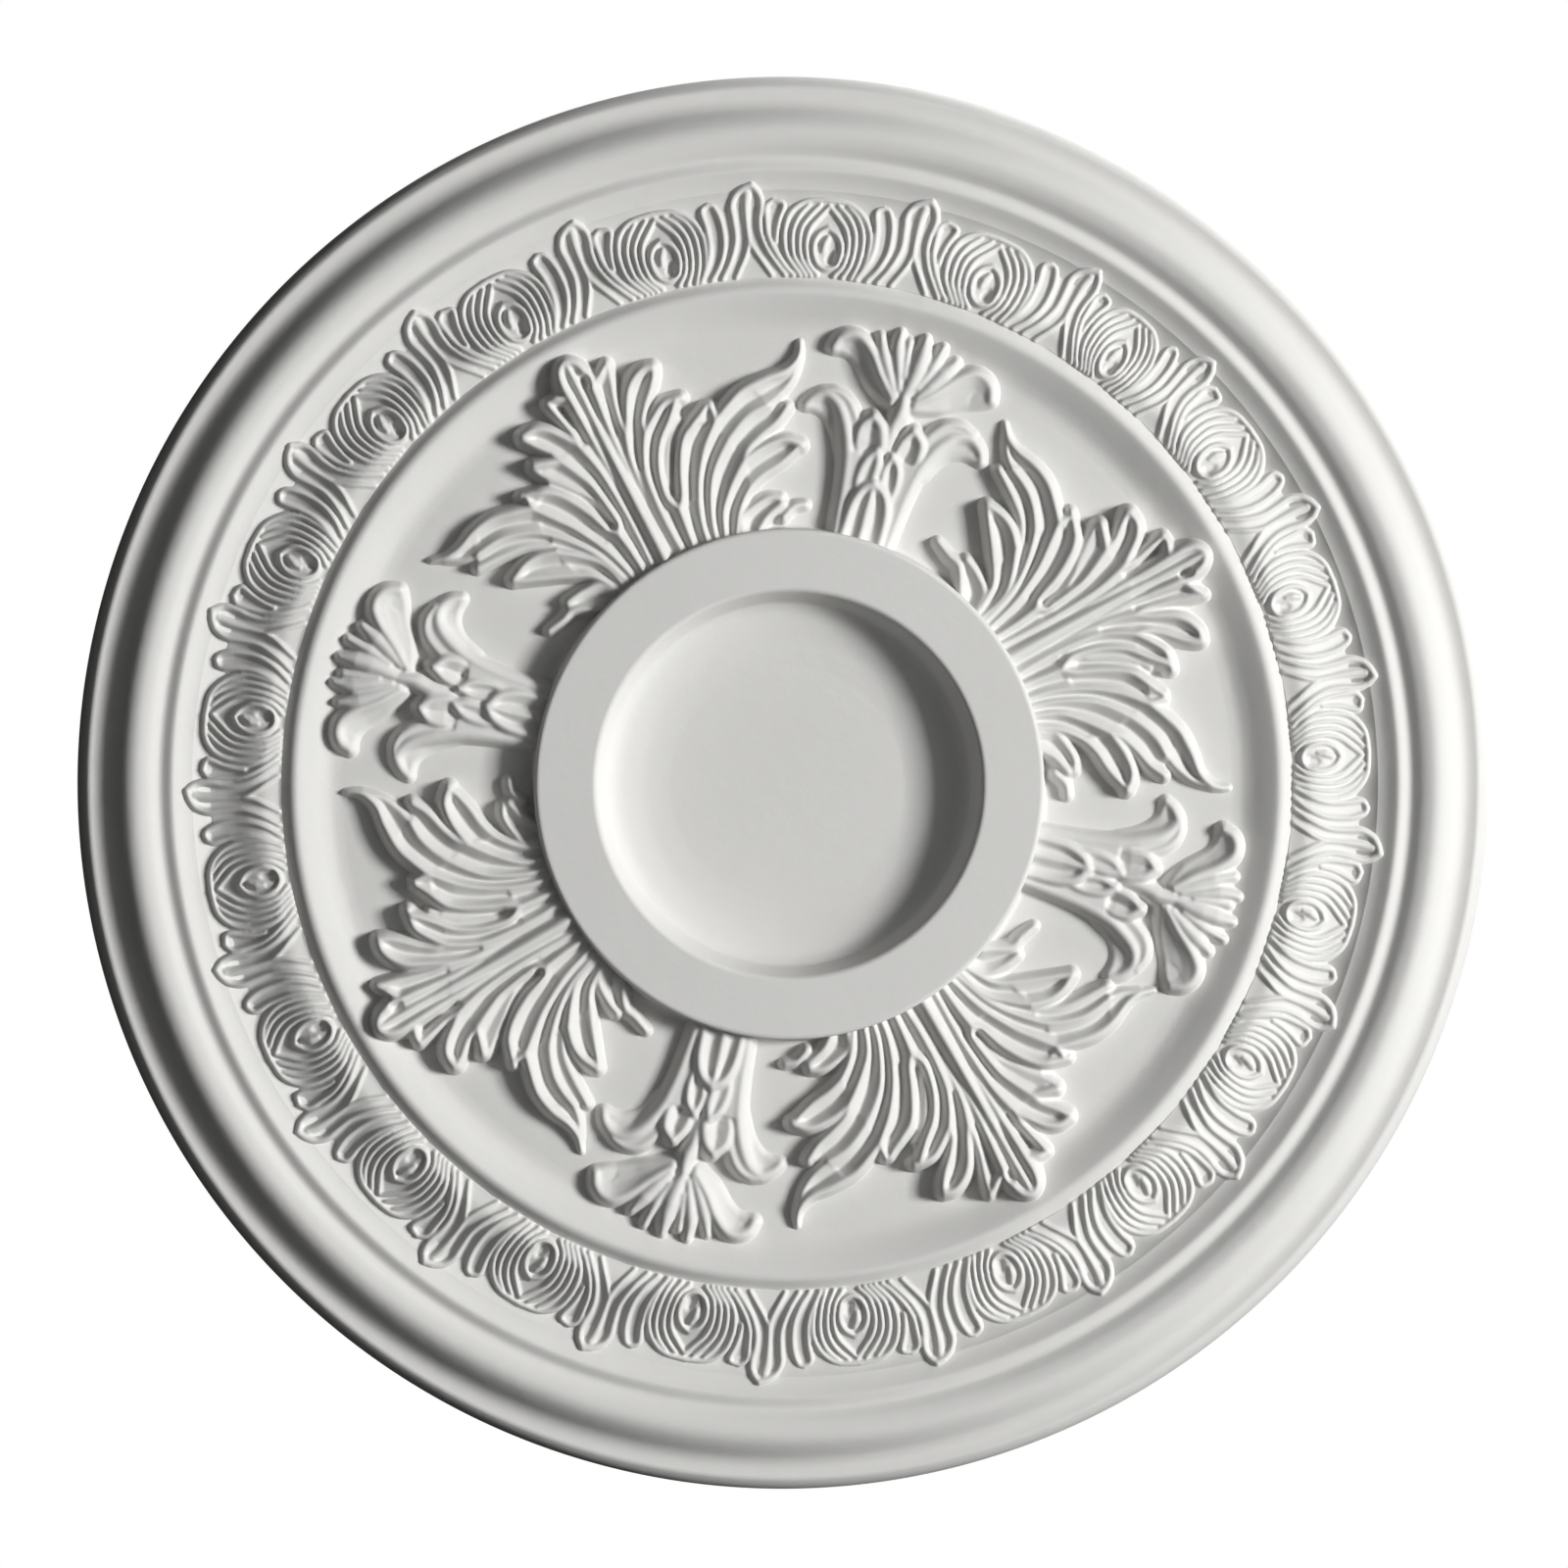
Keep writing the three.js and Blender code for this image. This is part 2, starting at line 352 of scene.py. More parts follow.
class Carving:
    """A slab of plaster under the gouge: the height of the relief over a grid of places."""

    def __init__(self, across, along, crest, bed):
        self.across = across
        self.along = along
        self.crest = crest
        self.height = np.full(across.shape, float(bed))

    def window(self, line):
        """The rows and columns that a cut along the line can reach, or None."""
        low = line.min(axis=0) - REACH
        high = line.max(axis=0) + REACH
        inside = ((self.across > low[0]) & (self.across < high[0])
                  & (self.along > low[1]) & (self.along < high[1]))
        rows = np.flatnonzero(inside.any(axis=1))
        columns = np.flatnonzero(inside.any(axis=0))
        if not len(rows):
            return None
        return slice(rows[0], rows[-1] + 1), slice(columns[0], columns[-1] + 1)

    def nearest(self, line, part):
        """How far each place lies from a line, and how far along the line the nearest point is."""
        across = self.across[part]
        along = self.along[part]
        steps = np.linalg.norm(np.diff(line, axis=0), axis=1)
        run = np.concatenate([[0], np.cumsum(steps)]) / steps.sum()
        gap = np.full(across.shape, np.inf)
        where = np.zeros(across.shape)
        for start, end, from_run, to_run in zip(line, line[1:], run, run[1:]):
            step = end - start
            t = ((across - start[0]) * step[0] + (along - start[1]) * step[1]) / (step @ step)
            t = np.clip(t, 0, 1)
            reach = np.hypot(across - start[0] - t * step[0], along - start[1] - t * step[1])
            closer = reach < gap
            gap = np.where(closer, reach, gap)
            where = np.where(closer, from_run + t * (to_run - from_run), where)
        return gap, where

    def rib(self, rib):
        """Leaves a blunt ridge standing."""
        part = self.window(rib.line)
        if part is None:
            return
        gap, where = self.nearest(rib.line, part)
        thick = along_it(rib.thick, where)
        blunt = self.crest * thick
        slope = FLANK * (np.hypot(gap, blunt) - blunt)
        ridge = along_it(rib.rise, where) - slope - STEEPENING * np.maximum(gap - thick, 0)**2
        self.height[part] = raised(self.height[part], ridge, RIB_JOIN)

    def web(self, first, second, sink):
        """Fills between two ribs with a hollow flute."""
        edge = np.vstack([first.line, second.line[::-1]])
        part = self.window(edge)
        if part is None:
            return
        across = self.across[part]
        along = self.along[part]
        first_gap, first_where = self.nearest(first.line, part)
        second_gap, second_where = self.nearest(second.line, part)
        start_gap, _ = self.nearest(np.array([first.line[0], second.line[0] + 1e-6]), part)
        end_gap, _ = self.nearest(np.array([first.line[-1], second.line[-1] + 1e-6]), part)
        inside = np.zeros(across.shape, bool)
        for a, b in zip(edge, np.roll(edge, -1, axis=0)):
            if a[1] != b[1]:
                crossing = a[0] + (along - a[1]) / (b[1] - a[1]) * (b[0] - a[0])
                inside ^= ((a[1] > along) != (b[1] > along)) & (across < crossing)
        share = first_gap / (first_gap + second_gap + 1e-9)
        level = ((1 - share) * along_it(first.rise, first_where)
                 + share * along_it(second.rise, second_where))
        beyond = np.minimum(np.minimum(first_gap, second_gap), np.minimum(start_gap, end_gap))
        beyond = np.where(inside, 0, beyond)
        hollow = (1 - np.abs(2 * share - 1))**FLUTE_HOLLOW
        flute = level - FLUTE_LIP - sink * hollow - FLANK * beyond - STEEPENING * beyond**2
        self.height[part] = raised(self.height[part], flute, RIB_JOIN)

    def gouge(self, line, wide, floor, flank):
        """Cuts a slot down to a floor that may rise along it."""
        part = self.window(line)
        if part is None:
            return
        gap, where = self.nearest(line, part)
        slot = along_it(floor, where) + flank * np.maximum(gap - along_it(np.atleast_1d(wide), where), 0)
        self.height[part] = -raised(-self.height[part], -slot, RIB_JOIN)


def softened(height):
    """Rounds off what the chisel leaves sharp, as coats of paint do."""
    for _ in range(COATS):
        height[1:-1] += (height[2:] + height[:-2] - 2 * height[1:-1]) / 4
        height[:, 1:-1] += (height[:, 2:] + height[:, :-2] - 2 * height[:, 1:-1]) / 4
    return height


def slab(sides, ends, grid, crest):
    """A flat slab to carve, and the height of the face that the carving will stand on."""
    across, along = np.meshgrid(np.arange(*sides, grid), np.arange(*ends, grid))
    from_middle = np.hypot(across, along)
    bed = np.where(from_middle < RING_FOOT, 0, surface(from_middle) - FIELD)
    return Carving(across, along, crest, BED_DEPTH), bed


def relief_piece(name, carving, bed, foot):
    """Makes a closed body of the relief that stands out of the bed, with its foot let into it."""
    proud = softened(raised(carving.height - bed, np.full(bed.shape, -LET_IN), foot))
    stands = proud > -TRIM
    ground = ~stands
    outside = np.zeros(ground.shape, bool)
    outside[[0, -1], :] = ground[[0, -1], :]
    outside[:, [0, -1]] |= ground[:, [0, -1]]
    while True:
        spread = outside.copy()
        spread[1:] |= outside[:-1]
        spread[:-1] |= outside[1:]
        spread[:, 1:] |= outside[:, :-1]
        spread[:, :-1] |= outside[:, 1:]
        spread &= ground
        if (spread == outside).all():
            break
        outside = spread
    kept = ~outside
    cells = kept[:-1, :-1] | kept[1:, :-1] | kept[:-1, 1:] | kept[1:, 1:]
    numbers = np.arange(kept.size).reshape(kept.shape)
    corners = np.stack([numbers[:-1, :-1], numbers[:-1, 1:], numbers[1:, 1:], numbers[1:, :-1]], axis=-1)
    corners = corners[cells]
    used, compact = np.unique(corners, return_inverse=True)
    compact = compact.reshape(corners.shape)
    top = np.stack([carving.across.ravel()[used], carving.along.ravel()[used],
                    FIELD + (bed + proud).ravel()[used]], axis=1)
    made = plaster_mesh(name, top, compact.tolist())
    body = bmesh.new()
    body.from_mesh(made.data)
    rim = [edge for edge in body.edges if edge.is_boundary]
    walls = bmesh.ops.extrude_edge_only(body, edges=rim)["geom"]
    floor_level = -(FIELD - SUNK) * TO_METRES
    for vertex in (item for item in walls if isinstance(item, bmesh.types.BMVert)):
        vertex.co.z = floor_level
    bmesh.ops.holes_fill(body, edges=[edge for edge in body.edges if edge.is_boundary], sides=0)
    bmesh.ops.recalc_face_normals(body, faces=body.faces)
    body.to_mesh(made.data)
    body.free()
    return made


leaf, leaf_bed = slab(LEAF_SIDES, LEAF_ENDS, LEAF_GRID, LEAF_CREST)

# Ribs are numbered from the tip to the base on either side; a and b are the two branches of one.
# Each has its line, its height along the line and its half width.
LEAF_RIBS = {
    "mid": Rib([(-3, 103), (-3, 150), (-2.8, 170), (-2.5, 185), (-2.4, 201)], (12, 11, 9.7, 9.2, 12.3),
               (3.2, 2.7, 2.1, 1.6, 1.2)),
    "arch": Rib([(0.4, 138), (0.8, 160), (1.8, 174), (3, 186), (3.2, 193.5), (1.4, 199.8), (-2.4, 202.6),
                 (-6.2, 200.4), (-7.8, 195), (-7.6, 187), (-7.2, 175), (-6.8, 160), (-6.4, 138)],
                (4.6, 7.4, 8.4, 9, 11, 12.3, 12.4, 12.3, 11, 9, 8.4, 7.4, 4.6),
                (0.6, 0.9, 1.2, 1.6, 1.8, 1.7, 1.8, 1.6, 1.2, 0.9, 0.6)),
    "r1": Rib([(1.8, 122), (2.2, 138), (3.8, 154), (6.5, 163.5)], (4.4, 6.4, 8.3, 9.3),
              (0.5, 0.8, 1.1, 1.3)),
    "r1a": Rib([(6.5, 163.5), (6.6, 169), (8.6, 178), (11.5, 187), (13.2, 194)],
               (9.3, 8.3, 8.5, 9.2), (1.3, 1, 1.1)),
    "r1b": Rib([(6.5, 163.5), (9.5, 168.5), (15, 178.5), (20, 183), (25.5, 185), (29.7, 184)],
               (9.3, 9.3, 9.5, 9.6, 9.2), (1.4, 1.6, 1.9, 1.9)),
    "r1top": Rib([(5, 189.5), (8, 191), (11, 193), (13.2, 194.6)], (10.5, 10.5, 9), (1.6, 1.1)),
    "r2": Rib([(5.6, 103), (4.6, 120), (5.2, 134), (6.8, 145.8), (10.1, 154), (14, 160.5)],
              (10, 9.5, 9, 8.8, 9.5), 1.15),
    "r2a": Rib([(14, 160.5), (15.2, 165.5), (19.5, 171), (24.6, 176), (28.5, 181), (29.7, 184)],
               (9.3, 8.3, 8.6, 9.2), (1.3, 1.1, 1.3, 1.8)),
    "r2b": Rib([(14, 160.5), (20, 164.8), (26, 168), (31, 167.8), (34.5, 167)], (9.3, 9.3, 9.4, 9),
               (1.4, 1.5, 1.7)),
    "r3": Rib([(10, 103), (10.8, 113), (12.3, 126)], (10, 9.8, 10.2), (1.5, 1.5, 1.8)),
    "r3a": Rib([(12.3, 125), (9.8, 131), (10.5, 138), (13, 145.8), (17.9, 154), (25.8, 161), (32, 167)],
               (10.2, 9.3, 9, 9, 9.5, 9.8), (1.5, 1.2, 1.1, 1.2, 1.4)),
    "r3f": Rib([(13.2, 137), (17, 146), (22.5, 154), (29.5, 159.5)], (6.3, 6.8, 6.3), 1.2),
    "r3b": Rib([(12.3, 125), (16, 130), (20, 139), (26.4, 150), (34, 154.6), (39, 157), (42.3, 159)],
               (10.2, 9.6, 9.6, 10, 10.4, 9), (1.5, 1.6, 1.8, 1.8, 1)),
    "r4": Rib([(16, 103), (18.2, 116), (24.3, 130.5), (33, 142.5), (43, 151.5)], (9.8, 9.3, 9, 9.2, 10),
              1.15),
    "r4a": Rib([(43, 151.5), (43.6, 154.5), (44, 158.5)], (10, 9.2), (1.5, 0.8)),
    "r4b": Rib([(43, 151.5), (50, 154.5), (59, 157.5), (70, 157.6), (79, 156.6), (85.5, 158.4), (89, 161.5),
                (91, 165)], (10, 9.6, 8.7, 8.2, 7.6, 6.4, 3.6), (1.5, 1.8, 2, 1.9, 1.6, 1.2, 0.5)),
    "r4low": Rib([(66, 147.5), (74, 149.6), (81, 153), (87.5, 159)], (7.4, 5.6, 5, 5), (1.4, 1.3, 0.9)),
    "r5": Rib([(19.5, 103), (22.5, 115), (30.2, 130), (40, 139), (50, 144.7), (58, 147.3), (66, 147.5)],
              (9.5, 9, 8.7, 8.7, 8.8, 8.2), 1.15),
    "r6": Rib([(23, 103), (28, 115), (34.5, 122), (42, 128), (46.3, 131)], (9.5, 8.8, 8.8, 9.8), 1.15),
    "r6a": Rib([(46.3, 131), (50, 134.5), (58, 137.3), (66, 139.3), (73, 142.8)], (9.8, 8.6, 8.3, 8),
               (1.5, 1.3, 1.6)),
    "r6b": Rib([(46.3, 131), (55, 132.3), (63, 131.8), (67.5, 129.8), (70.8, 126)], (9.8, 9, 8.8, 8.8),
               (1.5, 1.7, 1.9)),
    "r7": Rib([(28, 103), (34, 112), (42, 118.8), (50, 121.8), (60, 123), (70.8, 126)],
              (9, 8.3, 8, 7.8, 8), 1.15),
    "r8": Rib([(31, 103), (34, 109.8), (40, 111.7), (48, 112.3), (53, 110)], (8.7, 7.5, 7, 6.5), 1.4),
    "r9": Rib([(38, 101.5), (44, 105.3), (52, 107.3)], (7.8, 7.5, 7.3), (1.5, 1.9)),
    "r10": Rib([(50, 102), (56, 104), (61, 102.5)], (6.8, 6.3, 5.5), 1.4),
    "l1": Rib([(-9.4, 103), (-8.8, 125), (-9.3, 141.6), (-10.5, 156), (-13.6, 169.5)],
              (9.5, 9, 8.8, 9, 9.8), 1.15),
    "l1a": Rib([(-13.6, 169.5), (-13.6, 175), (-15.5, 183.7), (-17, 190.5)], (9.5, 8.5, 8.8, 9.4),
               (1.2, 1, 1.1)),
    "l1b": Rib([(-13.6, 169.5), (-17.5, 174.7), (-22, 180.4), (-27, 183.3), (-32.5, 183)],
               (9.5, 9.4, 9.6, 9.4), (1.4, 1.6, 1.9)),
    "l1top": Rib([(-9.5, 189.2), (-13, 190.6), (-17, 191)], (10.6, 10.6, 9), (1.6, 1.1)),
    "l2": Rib([(-15.5, 127.5), (-13.8, 133), (-14.3, 140), (-16.2, 151), (-19.1, 158), (-23.4, 166.5)],
              (10.2, 9.3, 9, 9, 9.4), 1.2),
    "l2a": Rib([(-23.4, 166.5), (-25.2, 171.5), (-29.7, 177.2), (-33, 182)], (9.2, 8.4, 8.8, 9.2),
               (1.2, 1.2, 1.7)),
    "l2b": Rib([(-23.4, 166.5), (-28, 168), (-34, 169.7)], (9.3, 9.8, 10), (1.4, 1.9)),
    "l2f": Rib([(-15.9, 143.3), (-20.8, 148.6), (-26.5, 156.8), (-32.6, 164.5), (-35, 169)],
               (6.8, 7, 7.2, 8.3), 1.2),
    "l3": Rib([(-13, 103), (-14.2, 118), (-15.6, 128)], (10, 9.8, 10.2), (1.5, 1.5, 1.8)),
    "l3b": Rib([(-15.6, 127.5), (-19.8, 134), (-22.8, 141.6), (-28.5, 151.5), (-34, 157), (-40, 159.4),
                (-45, 161)], (10.2, 9.6, 9.6, 10, 10.4, 9), (1.5, 1.7, 1.9, 1.9, 1)),
    "l4": Rib([(-17, 103), (-22.5, 121.5), (-30, 136.5), (-36.5, 145.5), (-43, 154)],
              (9.8, 9.2, 9, 9.2, 10), 1.15),
    "l4a": Rib([(-43, 154), (-43.3, 159.5)], (10, 9.2), (1.5, 0.8)),
    "l4b": Rib([(-43, 154), (-50, 156), (-60, 158), (-69.5, 156.8), (-78, 153.4), (-85, 152.6),
                (-91.5, 154.6)], (10, 9.8, 9, 8.4, 7.4, 6, 3.4), (1.5, 1.8, 2, 1.8, 1.5, 1.1, 0.5)),
    "l4low": Rib([(-72.5, 147.5), (-79, 148.8), (-86, 152)], (7, 5.2, 4.6), (1.3, 0.9)),
    "l5": Rib([(-20, 103), (-26.5, 121.5), (-35, 134), (-45, 143.3), (-56, 148), (-64, 148.7), (-73, 147.5)],
              (9.3, 8.9, 8.7, 8.8, 8.6, 8), 1.15),
    "l5b": Rib([(-43, 136.2), (-52, 140.5), (-62, 142), (-75, 142.5)], (6.8, 7.2, 7.2), 1.5),
    "l6": Rib([(-22.5, 103), (-27, 118.5), (-34, 126.5), (-42.5, 133)], (9.3, 8.7, 8.7, 9.6), 1.15),
    "l6a": Rib([(-42.5, 133), (-50, 135), (-57, 134.3), (-64, 131)], (9.6, 8.9, 8.6, 8.4), (1.5, 1.8)),
    "l7": Rib([(-25, 104), (-33, 116.5), (-43, 122), (-54, 126.5), (-64, 130.5)], (9, 8.3, 8, 8, 8.2), 1.15),
    "l8": Rib([(-26, 104), (-32, 111.8), (-40, 113), (-48, 112)], (8.7, 7.8, 7.3, 7.3), 1.4),
    "l9": Rib([(-36, 102.5), (-47, 107.8), (-53, 106.3), (-60.5, 105)], (7.8, 7.7, 7, 5.6), (1.5, 1.9, 1.3)),
}

# Between which ribs the leaf is fluted, along which shares of their length, and how deep
LEAF_WEBS = [
    (("mid", 0, 0.47), ("r2", 0, 0.75), 3),
    (("mid", 0.2, 0.66), ("r1",), 2.8),
    (("mid", 0.37, 1), ("arch", 0, 0.46), 2.8),
    (("arch", 0.15, 0.37), ("r1a", 0, 0.9), 3),
    (("r1", 0.38, 1), ("r2", 0.6, 1), 3),
    (("r1b",), ("r2a",), 3),
    (("r2", 0.42, 1), ("r3a", 0, 0.72), 3),
    (("r2", 0, 0.42), ("r3",), 2.8),
    (("r3f", 0, 0.8), ("r3b", 0, 0.74), 2.4),
    (("r2b",), ("r3a", 0.7, 1), 3),
    (("r3a", 0.25, 0.92), ("r3f",), 1.4),
    (("r3b", 0, 0.86), ("r4", 0.42, 1), 3.2),
    (("r3b", 0.8, 1), ("r4a",), 1.6),
    (("r3",), ("r4", 0, 0.42), 2.8),
    (("r4",), ("r5", 0, 0.71), 3.2),
    (("r4b", 0, 0.45), ("r5", 0.66, 1), 3.2),
    (("r4b", 0.4, 0.92), ("r4low",), 2.4),
    (("r5", 0.05, 0.67), ("r6", 0.05, 1), 2.8),
    (("r5", 0.62, 1), ("r6a",), 2.8),
    (("r6b",), ("r7", 0.42, 1), 2.9),
    (("r6",), ("r7", 0, 0.47), 2.9),
    (("r7", 0, 0.3), ("r8", 0, 0.55), 3),
    (("r8",), ("r9",), 2.4),
    (("mid", 0, 0.68), ("l1", 0, 0.96), 3),
    (("mid", 0.37, 1), ("arch", 0.54, 1), 2.8),
    (("arch", 0.64, 0.84), ("l1a", 0, 0.95), 3),
    (("l1", 0.38, 1), ("l2",), 3),
    (("l1", 0, 0.38), ("l3",), 2.6),
    (("l2f", 0, 0.8), ("l3b", 0, 0.72), 2.4),
    (("l1b",), ("l2a",), 3),
    (("l2b",), ("l2f", 0.65, 1), 2.6),
    (("l2", 0.3, 1), ("l2f", 0, 0.88), 1.4),
    (("l3",), ("l4", 0, 0.42), 2.8),
    (("l3b", 0, 0.84), ("l4", 0.42, 1), 3.2),
    (("l3b", 0.78, 1), ("l4a",), 1.6),
    (("l4",), ("l5", 0, 0.66), 3.2),
    (("l4b", 0, 0.57), ("l5", 0.6, 1), 3.2),
    (("l4b", 0.5, 0.94), ("l4low",), 2.4),
    (("l5", 0.54, 1), ("l5b",), 2),
    (("l5", 0, 0.57), ("l6",), 2.6),
    (("l6a",), ("l7", 0.44, 1), 2.8),
    (("l6",), ("l7", 0, 0.5), 2.8),
    (("l7", 0, 0.35), ("l8", 0, 0.6), 3),
    (("l8",), ("l9", 0, 0.5), 2.4),
]
for first, second, sink in LEAF_WEBS:
    leaf.web(part_of(LEAF_RIBS, *first), part_of(LEAF_RIBS, *second), sink * LEAF_DEPTH)
for rib in LEAF_RIBS.values():
    leaf.rib(rib)
# The slits at the forks of two lobes and the eye under the hooked tip: line, half width and floor along it
LEAF_SLITS = [
    ([(13.2, 132.5), (17.5, 141.5), (22.5, 149), (29, 156)], (0.3, 0.2, 0.1), (3, 4.5, 6.5)),
    ([(-16.4, 132.5), (-20.8, 146.3), (-26, 153.2), (-32, 159.5)], (0.3, 0.2, 0.1), (3, 4.5, 6.5)),
    ([(0.9, 190.4), (1.2, 192.4)], 0.6, (5.5, 5.5)),
]
for points, wide, floor in LEAF_SLITS:
    leaf.gouge(drawn(points) / SEEN_SIZE, wide, floor, GOUGE_FLANK)

leaf_model = relief_piece("leaf_model", leaf, leaf_bed, LEAF_FOOT)


# The tree sets copies of one cast model round the middle of the rose, each turned by its own angle
laying = bpy.data.node_groups.new("laid_round", "GeometryNodeTree")
laying.interface.new_socket(name="Places", in_out="INPUT", socket_type="NodeSocketGeometry")
model_socket = laying.interface.new_socket(name="Model", in_out="INPUT", socket_type="NodeSocketObject")
plaster_socket = laying.interface.new_socket(name="Plaster", in_out="INPUT",
                                             socket_type="NodeSocketMaterial")
laying.interface.new_socket(name="Casts", in_out="OUTPUT", socket_type="NodeSocketGeometry")
given = laying.nodes.new("NodeGroupInput")
model = laying.nodes.new("GeometryNodeObjectInfo")
turn = laying.nodes.new("GeometryNodeInputNamedAttribute")
turn.inputs["Name"].default_value = "turn"
spin = laying.nodes.new("ShaderNodeCombineXYZ")
copies = laying.nodes.new("GeometryNodeInstanceOnPoints")
real = laying.nodes.new("GeometryNodeRealizeInstances")
painted = laying.nodes.new("GeometryNodeSetMaterial")
result = laying.nodes.new("NodeGroupOutput")
for source, target in [
    (given.outputs["Model"], model.inputs["Object"]),
    (given.outputs["Places"], copies.inputs["Points"]),
    (model.outputs["Geometry"], copies.inputs["Instance"]),
    (turn.outputs["Attribute"], spin.inputs["Z"]),
    (spin.outputs["Vector"], copies.inputs["Rotation"]),
    (copies.outputs["Instances"], real.inputs["Geometry"]),
    (real.outputs["Geometry"], painted.inputs["Geometry"]),
    (given.outputs["Plaster"], painted.inputs["Material"]),
    (painted.outputs["Geometry"], result.inputs["Casts"]),
]:
    laying.links.new(source, target)


def cast_round(name, tree, model, places, attributes, sockets):
    """Runs a laying tree over a set of places and gives the casts as one plain mesh."""
    mesh = bpy.data.meshes.new(name + "_places")
    mesh.from_pydata(places, [], [])
    for key, values in attributes.items():
        mesh.attributes.new(key, "FLOAT", "POINT").data.foreach_set("value", values)
    holder = bpy.data.objects.new(name + "_places", mesh)
    bpy.context.scene.collection.objects.link(holder)
    laid = holder.modifiers.new("laid", "NODES")
    laid.node_group = tree
    laid[sockets[0].identifier] = model
    laid[sockets[1].identifier] = plaster
    bpy.context.view_layer.update()
    evaluated = holder.evaluated_get(bpy.context.evaluated_depsgraph_get())
    casts = bpy.data.objects.new(name, bpy.data.meshes.new_from_object(evaluated))
    bpy.context.scene.collection.objects.link(casts)
    holder.modifiers.remove(laid)
    bpy.data.objects.remove(holder)
    return casts


for axis in LEAF_AXES:
    laid_leaf = cast_round("acanthus_leaf_" + str(round(axis)), laying, leaf_model, [(0, 0, 0)],
                           {"turn": [math.radians(90 - axis)]}, (model_socket, plaster_socket))
    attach(laid_leaf, "root")
bpy.data.objects.remove(leaf_model)


# The four palmette sprigs stand between the leaves: a sheath of small leaves on the ring, two long leaves
# that curl outwards, and on a short stalk a fan of petals. They too are casts from one model, let into
# the field, and are set out as the leaf is.
SPRIG_AXES = (73.4, 164.7, 254.7, 343.3)
SPRIG_SIDES = (-49, 49.5)
SPRIG_ENDS = (100, 206)
SPRIG_GRID = 0.54
SPRIG_CREST = 1.3
SPRIG_FOOT = 4.0

sprig, sprig_bed = slab(SPRIG_SIDES, SPRIG_ENDS, SPRIG_GRID, SPRIG_CREST)

